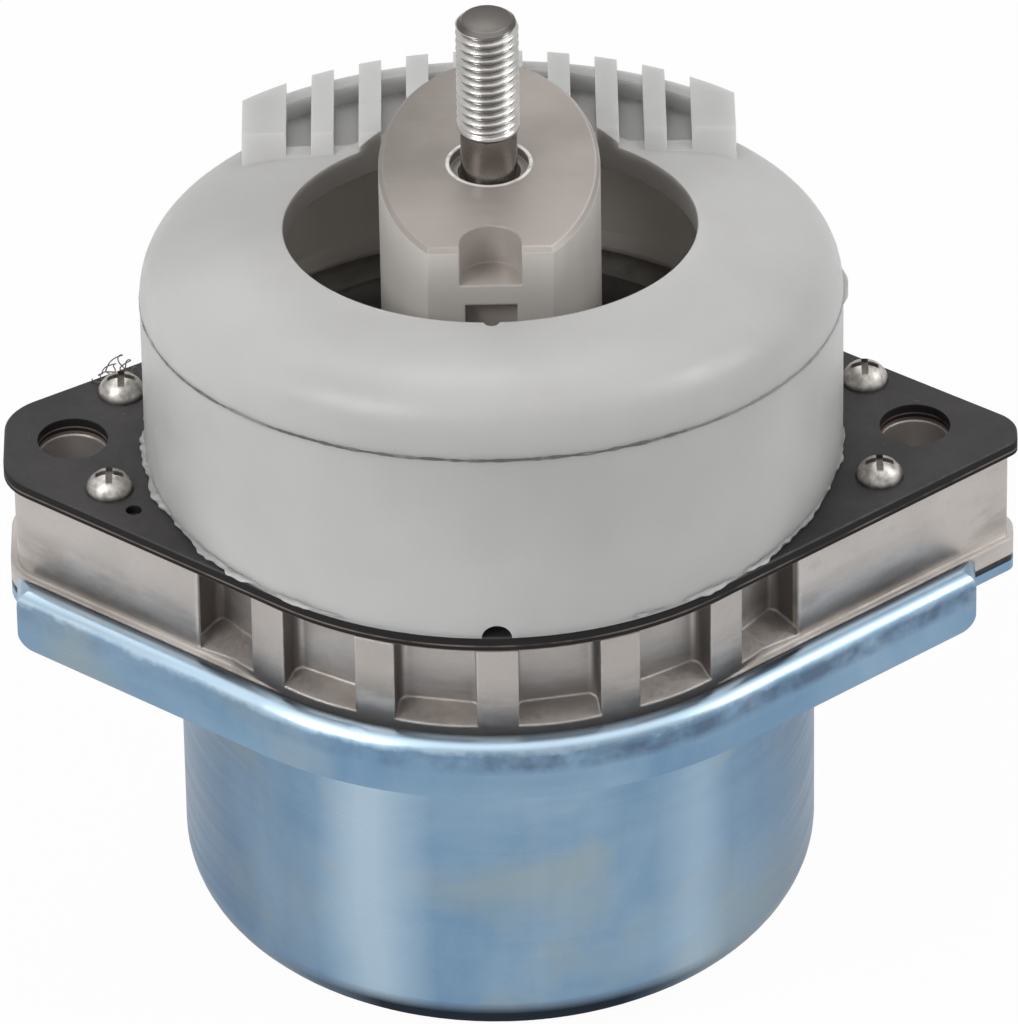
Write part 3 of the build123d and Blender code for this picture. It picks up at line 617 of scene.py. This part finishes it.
def black_plate():
    """Black coating, with painted shade making the sheared edge near black."""
    dark_coat, pale_coat = (0.026, 0.024, 0.0245), (0.046, 0.042, 0.043)
    dust_and_painted_shade = (0.12, 0.113, 0.11)
    sheared_edge_painted_shade = (0.008, 0.0075, 0.0075)
    worn_line = (0.22, 0.165, 0.15)

    g = Graph("black_plate")
    z = g.axes()[2]
    speck = g.noise(700, 4, 0.6)
    color = g.mix(g.span(g.noise(80, 4, 0.6), 0.35, 0.7), dark_coat, pale_coat)
    color = g.mix(g.span(speck, 0.66, 0.74, 0, 0.5), color, dust_and_painted_shade)
    # Painted shade: the sheared edge below the top is painted near black.
    sheared = g.below(z, PLATE_EDGE)
    color = g.mix(sheared, color, sheared_edge_painted_shade)
    burr = g.band(z, PLATE_BURR * MM, 0.08 * MM, 0.12 * MM)
    broken = g.span(g.noise(90, 3, 0.6), 0.35, 0.55, 0.15, 1.0)
    color = g.mix(g.times(burr, broken, sheared), color, worn_line)
    rough = g.math("MAXIMUM", g.span(speck, 0.3, 0.7, 0.4, 0.55), g.times(sheared, 0.75))
    return g.finish(color, rough, g.bump(speck, 0.3, 0.04), specular_ior_level=0.35)


def seal_rubber():
    """Black seals below, and the red-brown seal that shows as a line under the plate."""
    dark_rubber, pale_rubber = (0.02, 0.02, 0.02), (0.038, 0.038, 0.038)
    red_brown = (0.17, 0.115, 0.10)

    g = Graph("seal_rubber")
    speck = g.noise(500, 4, 0.6)
    color = g.mix(g.span(g.noise(60, 4, 0.6), 0.35, 0.7), dark_rubber, pale_rubber)
    color = g.mix(g.above(g.axes()[2], SEAL_FOOT), color, red_brown)
    return g.finish(color, g.span(speck, 0.3, 0.7, 0.5, 0.7), g.bump(speck, 0.3, 0.05))


def spring_rubber():
    """Dark rubber with a dusty shoulder."""
    dark_rubber, pale_rubber = (0.03, 0.024, 0.02), (0.055, 0.045, 0.038)
    dust_and_painted_shade = (0.17, 0.165, 0.155)

    g = Graph("spring_rubber")
    speck = g.noise(500, 4, 0.6)
    color = g.mix(g.span(g.noise(60, 4, 0.6), 0.35, 0.7), dark_rubber, pale_rubber)
    shoulder = g.span(g.around()[1], 36 * MM, 43 * MM)
    color = g.mix(g.times(shoulder, g.span(speck, 0.25, 0.5, 0.6, 1.0)), color, dust_and_painted_shade)
    return g.finish(color, g.span(speck, 0.3, 0.7, 0.5, 0.7), g.bump(speck, 0.3, 0.05))


MATERIALS = {
    "nylon": nylon(),
    "cast_alloy": cast_alloy(),
    "core_alloy": core_alloy(),
    "stud_steel": stud_steel(),
    "sleeve_steel": plain_metal("sleeve_steel", (0.42, 0.42, 0.41)),
    "track_alloy": plain_metal("track_alloy", (0.6, 0.6, 0.6)),
    "zinc_steel": zinc_steel(),
    "black_plate": black_plate(),
    "seal_rubber": seal_rubber(),
    "spring_rubber": spring_rubber(),
}

slot_of = {part["node"]: part["material_slot"] for part in frame["record"]["subparts"]}
for node, obj in nodes.items():
    obj.data.materials.clear()
    own = screw_steel(node) if slot_of[node] == "screw_steel" else MATERIALS[slot_of[node]]
    obj.data.materials.append(own)


# Mesh helpers
def add_piece(name, verts, faces, slot):
    """A smooth mesh piece given in millimetres, riding on the root."""
    mesh = bpy.data.meshes.new(name)
    mesh.from_pydata([tuple(c * MM for c in v) for v in verts], [], faces)
    mesh.validate()
    bm = bmesh.new()
    bm.from_mesh(mesh)
    bmesh.ops.recalc_face_normals(bm, faces=bm.faces)
    bm.to_mesh(mesh)
    bm.free()
    obj = bpy.data.objects.new(name, mesh)
    bpy.context.scene.collection.objects.link(obj)
    mesh.materials.append(MATERIALS[slot])
    mesh.shade_smooth()
    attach(obj, "root")
    return obj


def wrap(rows, sides):
    """Faces of a tube of vertex rows, closed at both ends."""
    faces = []
    for i in range(rows - 1):
        for k in range(sides):
            n = (k + 1) % sides
            faces.append((i * sides + k, i * sides + n, (i + 1) * sides + n, (i + 1) * sides + k))
    last = (rows - 1) * sides
    faces.append(tuple(range(sides))[::-1])
    faces.append(tuple(last + k for k in range(sides)))
    return faces


# Stud
def thread_at(z):
    """Radius of the rolled thread at a height, as a function of the angle."""

    def radius(a):
        turn = (z / THREAD_PITCH - a / (2 * math.pi)) % 1.0
        tooth = abs(2 * turn - 1)
        cut = min(1.0, max(0.0, (tooth - THREAD_CREST) / THREAD_FLANK))
        fade = min(1.0, max(0.0, (z - THREAD_START) / THREAD_RUNOUT))
        return THREAD_RADIUS - (THREAD_RADIUS - THREAD_ROOT) * cut * fade

    return radius


def build_stud():
    """Plain foot, necked shank, thread with a run-out, and a bevelled tip."""
    recess = CORE_TOP - RECESS_DEPTH
    profile = [
        (THREAD_RADIUS, STUD_FOOT),
        (THREAD_RADIUS, recess),
        (SHANK_RADIUS, recess + 0.4),
        (SHANK_RADIUS, THREAD_START - 0.6),
        (THREAD_RADIUS - 0.12, THREAD_START - 0.1),
    ]
    rows = [(lambda a, r=r: r, z) for r, z in profile]
    for i in range(THREAD_ROWS + 1):
        z = THREAD_START + (THREAD_END - THREAD_START) * i / THREAD_ROWS
        rows.append((thread_at(z), z))
    for i in range(1, TIP_ROWS + 1):
        z = THREAD_END + (STUD_TOP - TIP_EDGE - THREAD_END) * i / TIP_ROWS
        limit = THREAD_RADIUS - (THREAD_RADIUS - TIP_RADIUS) * i / TIP_ROWS
        rows.append((lambda a, at=thread_at(z), limit=limit: min(at(a), limit), z))
    rows.append((lambda a: TIP_RADIUS - 0.15, STUD_TOP))

    verts = []
    for radius, z in rows:
        for k in range(THREAD_SIDES):
            a = 2 * math.pi * k / THREAD_SIDES
            r = radius(a)
            verts.append((r * math.cos(a), r * math.sin(a), z))
    stud = add_piece("stud_threaded", verts, wrap(len(rows), THREAD_SIDES), "stud_steel")
    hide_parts("stud")


build_stud()


# Parting line and flash of the ring
def ring_strip(name, radius, inner, height_at, half_at, reach_at, start=0.0, turn=360.0):
    """A thin nylon ridge round the ring: height, half height and outward reach are functions of the angle."""
    closed = turn >= 360
    steps = int(turn * RIDGE_STEPS_PER_DEGREE)
    verts, faces = [], []
    for k in range(steps if closed else steps + 1):
        a = math.radians(start + turn * k / steps)
        c, s = math.cos(a), math.sin(a)
        z, half, reach = height_at(a), half_at(a), reach_at(a)
        crest = half * RIDGE_CREST_SHARE
        for out, dz in ((-inner, -half), (reach, -crest), (reach, crest), (-inner, half)):
            verts.append(((radius + out) * c, (radius + out) * s, z + dz))
    rows = len(verts) // 4
    for k in range(rows if closed else rows - 1):
        n = (k + 1) % rows
        for j in range(4):
            m = (j + 1) % 4
            faces.append((4 * k + j, 4 * n + j, 4 * n + m, 4 * k + m))
    if not closed:
        last = 4 * (rows - 1)
        faces.append((0, 3, 2, 1))
        faces.append((last, last + 1, last + 2, last + 3))
    add_piece(name, verts, faces, "nylon")


def wobble(a, scale, seed):
    """Smooth noise from -1 to 1 round the ring."""
    return noise.noise(Vector((math.cos(a) * scale, math.sin(a) * scale, seed)))


def bulge(a, centre, half):
    """A smooth hump of height 1 round one angle, 0 beyond half."""
    away = abs((a - centre + math.pi) % (2 * math.pi) - math.pi)
    return max(0.0, 1 - (away / half) ** 2)


def seam_at(a):
    """Height of the parting line, which falls towards the back with the dome."""
    return SEAM_HEIGHT - RING_SLOPE * RING_RADIUS * math.sin(a)


def build_seam():
    """The parting line round the ring, and the small nub on it at the right."""
    ring_strip(
        "ring_parting_line",
        RING_RADIUS,
        inner=0.3,
        height_at=lambda a: seam_at(a) + 0.12 * wobble(a, 9, 1.0),
        half_at=lambda a: 0.62 + 0.3 * wobble(a, 30, 2.0),
        reach_at=lambda a: max(0.02, 0.08 + 0.14 * wobble(a, 40, 3.0)),
    )
    ring_strip(
        "ring_parting_nub",
        RING_RADIUS - 0.05,
        inner=0.4,
        height_at=lambda a: seam_at(a) - 1.2,
        half_at=lambda a: 0.1 + 3.4 * bulge(a, NUB_ANGLE, 0.12),
        reach_at=lambda a: -0.2 + 1.1 * bulge(a, NUB_ANGLE, 0.1),
        start=-5,
        turn=14,
    )


def build_foot_flash():
    """Ragged flash squeezed out under the ring's foot, on both sides of its front."""

    def reach(a):
        sides = max(bulge(a, FLASH_LEFT, 0.8), bulge(a, FLASH_RIGHT, 0.6))
        ragged = 0.55 + 1.1 * wobble(a, 9, 5.0) + 0.5 * wobble(a, 33, 6.0)
        return -0.2 + 1.3 * math.sqrt(sides) * max(0.0, ragged)

    for name, start, turn in (("ring_foot_flash_left", 158, 90), ("ring_foot_flash_right", 292, 68)):
        ring_strip(
            name,
            RING_RADIUS,
            inner=0.5,
            height_at=lambda a: PLATE_TOP + 0.6 + 0.25 * wobble(a, 30, 7.0),
            half_at=lambda a: 0.5 + 0.35 * wobble(a, 24, 8.0),
            reach_at=reach,
            start=start,
            turn=turn,
        )


# Fibres
def fibre_path(turn, span, rise, seed):
    """Points of a curly fibre behind the rear left screw."""
    x, y = middle("screw_rear_left")[:2]
    points = []
    for k in range(FIBRE_STEPS + 1):
        t = k / FIBRE_STEPS
        heading = turn + FIBRE_CURL * noise.noise(Vector((seed, 3.1 * t, 0.0)))
        along = span * (t - 0.4)
        points.append(
            Vector((
                x + FIBRE_SPREAD[0] * math.cos(turn) + along * math.cos(heading),
                y + FIBRE_BEHIND + FIBRE_SPREAD[1] * math.sin(turn) + 0.5 * along * math.sin(heading),
                PLATE_TOP + 0.2 + rise * math.sin(math.pi * t) ** 2,
            ))
        )
    return points


def build_fibres():
    """Curly fibres caught behind the rear left screw."""
    for i, fibre in enumerate(FIBRES):
        path = fibre_path(*fibre)
        verts = []
        for k, point in enumerate(path):
            ahead = path[min(k + 1, FIBRE_STEPS)] - path[max(k - 1, 0)]
            across = ahead.orthogonal().normalized()
            beside = ahead.cross(across).normalized()
            for j in range(FIBRE_SIDES):
                w = 2 * math.pi * j / FIBRE_SIDES
                verts.append(point + FIBRE_RADIUS * (math.cos(w) * across + math.sin(w) * beside))
        add_piece(f"fibre_{i + 1}", verts, wrap(len(path), FIBRE_SIDES), "spring_rubber")


build_seam()
build_foot_flash()
build_fibres()


# Studio
def make_stage():
    """A pale floor that shows almost white, and keeps the object's shadow."""
    mesh = bpy.data.meshes.new("floor")
    corners = [(x * FLOOR_REACH, y * FLOOR_REACH, 0) for x, y in ((-1, -1), (1, -1), (1, 1), (-1, 1))]
    mesh.from_pydata(corners, [], [(0, 1, 2, 3)])
    floor = bpy.data.objects.new("floor", mesh)
    floor.location.z = -FLOOR_DROP
    bpy.context.scene.collection.objects.link(floor)
    g = Graph("floor")
    g.finish(FLOOR_COLOR, 0.9, specular_ior_level=0.0)
    path = g.add("ShaderNodeLightPath")
    seen = g.times(path.outputs["Is Camera Ray"], FLOOR_WHITE_SEEN)
    mirrored = g.times(path.outputs["Is Glossy Ray"], FLOOR_WHITE_MIRRORED)
    surface = g.add("ShaderNodeMixShader")
    g.feed(surface.inputs[0], g.math("MAXIMUM", seen, mirrored))
    g.feed(surface.inputs[1], g.bsdf.outputs[0])
    g.feed(surface.inputs[2], g.add("ShaderNodeEmission").outputs[0])
    g.feed(g.tree.nodes["Material Output"].inputs["Surface"], surface.outputs[0])
    mesh.materials.append(g.material)


def make_world():
    """White to the camera, pale grey as a light, and brighter overhead in reflections."""
    world = bpy.data.worlds.new("studio")
    bpy.context.scene.world = world
    world.use_nodes = True
    tree = world.node_tree
    background = tree.nodes["Background"]
    path = tree.nodes.new("ShaderNodeLightPath")
    shown = tree.nodes.new("ShaderNodeMath")
    shown.operation = "MAXIMUM"
    tree.links.new(path.outputs["Is Camera Ray"], shown.inputs[0])
    tree.links.new(path.outputs["Is Transmission Ray"], shown.inputs[1])
    split = tree.nodes.new("ShaderNodeSeparateXYZ")
    tree.links.new(tree.nodes.new("ShaderNodeTexCoord").outputs["Generated"], split.inputs[0])
    sky = tree.nodes.new("ShaderNodeMapRange")
    sky.interpolation_type = "SMOOTHSTEP"
    tree.links.new(split.outputs[2], sky.inputs["Value"])
    sky.inputs["From Min"].default_value = SKY_LOW_END
    sky.inputs["From Max"].default_value = SKY_HIGH_END
    sky.inputs["To Min"].default_value = SKY_LOW_LIGHT
    sky.inputs["To Max"].default_value = SKY_HIGH_LIGHT
    glossy = tree.nodes.new("ShaderNodeMix")
    tree.links.new(path.outputs["Is Glossy Ray"], glossy.inputs["Factor"])
    glossy.inputs["A"].default_value = WORLD_LIGHT
    tree.links.new(sky.outputs[0], glossy.inputs["B"])
    final = tree.nodes.new("ShaderNodeMix")
    tree.links.new(shown.outputs[0], final.inputs["Factor"])
    tree.links.new(glossy.outputs[0], final.inputs["A"])
    final.inputs["B"].default_value = 1.0
    tree.links.new(final.outputs[0], background.inputs["Strength"])
    background.inputs["Color"].default_value = (1, 1, 1, 1)


def make_softbox(name, towards, distance, size, power):
    """A rectangular lamp in one direction from the object, turned to face it."""
    data = bpy.data.lights.new(name, "AREA")
    data.shape = "RECTANGLE"
    data.size, data.size_y = size
    data.energy = power
    lamp = bpy.data.objects.new(name, data)
    aim = Vector(towards).normalized()
    lamp.location = LAMP_TARGET + aim * distance
    lamp.rotation_mode = "QUATERNION"
    lamp.rotation_quaternion = aim.to_track_quat("Z", "Y")
    bpy.context.scene.collection.objects.link(lamp)


make_stage()
make_world()
for name, settings in SOFTBOXES.items():
    make_softbox(name, **settings)
make_camera()

view = bpy.context.scene.view_settings
view.view_transform = "Standard"
